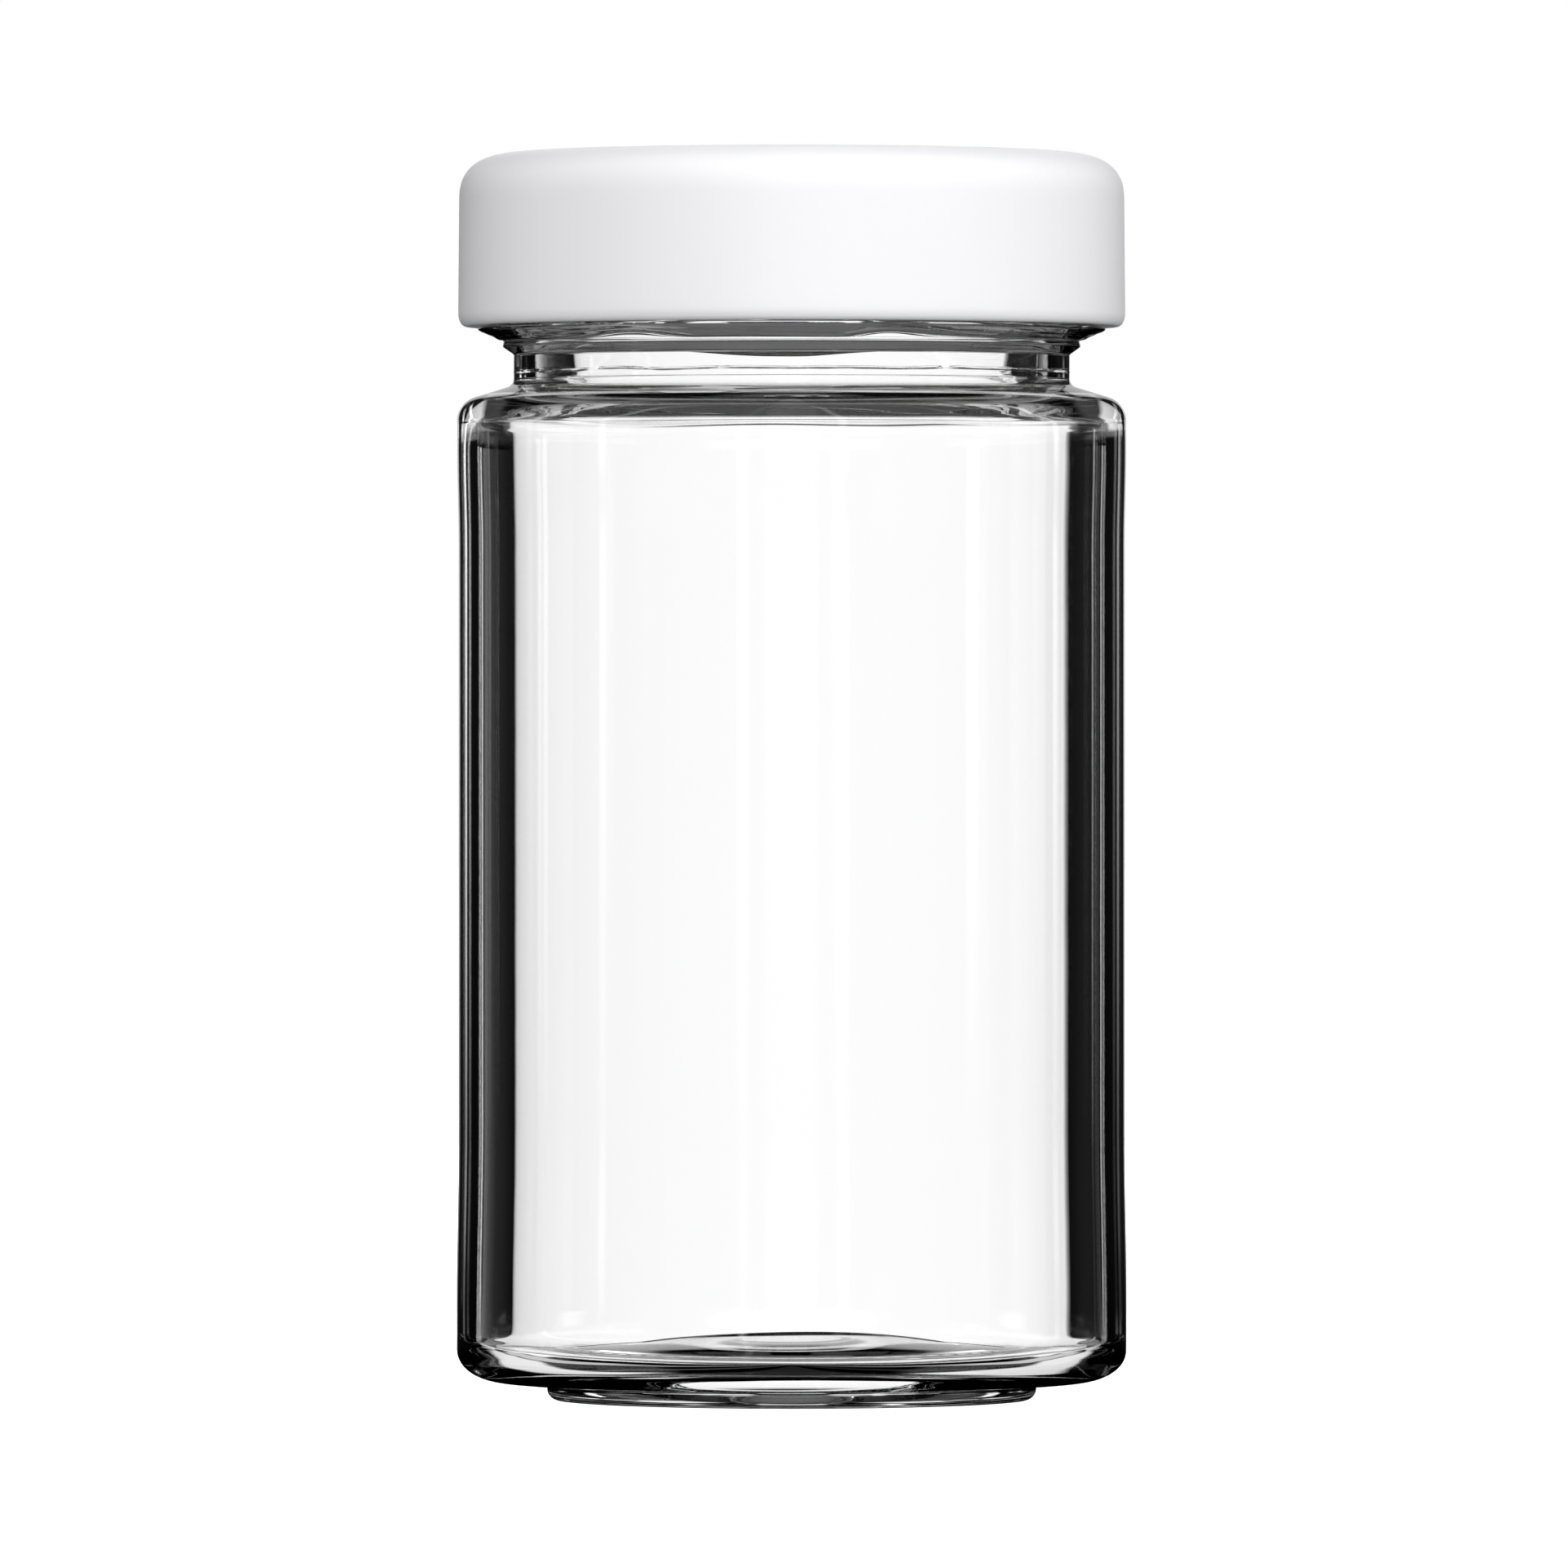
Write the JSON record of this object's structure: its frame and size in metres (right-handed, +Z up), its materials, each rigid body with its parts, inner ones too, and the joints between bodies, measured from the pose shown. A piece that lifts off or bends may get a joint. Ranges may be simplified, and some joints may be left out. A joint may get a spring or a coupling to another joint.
{
  "type": "glass canning jar",
  "caption": "Clear cylindrical glass jar with a stacking foot and a deep white twist-off lid that turns, lifts off and seals on a soft ring.",
  "frame": {"origin": "centre of the foot's bearing ring, on the surface that the jar stands on", "axes": "+Z up along the jar's axis, towards the lid; -Y faces the viewer; the jar is round, so X and Y are free"},
  "size_m": [0.0694, 0.0694, 0.1294],
  "materials": {
    "glass": "clear flint glass, fire polished, faint mould seams",
    "lid_lacquer": "satin white lacquer on tinplate",
    "seal_compound": "matt off-white soft compound"
  },
  "bodies": {
    "jar": {"glass_jar": "glass"},
    "seal": {"sealing_ring": "seal_compound"},
    "lid": {"lid_shell": "lid_lacquer"}
  },
  "joints": [
    {"name": "lid_lift", "type": "slide", "parent": "jar", "child": "seal", "axis": [0, 0, 1], "range_m": [0, 0.03]},
    {"name": "lid_turn", "type": "hinge", "parent": "seal", "child": "lid", "pos_m": [0, 0, 0.11135], "axis": [0, 0, 1], "range_deg": [0, 80]}
  ]
}
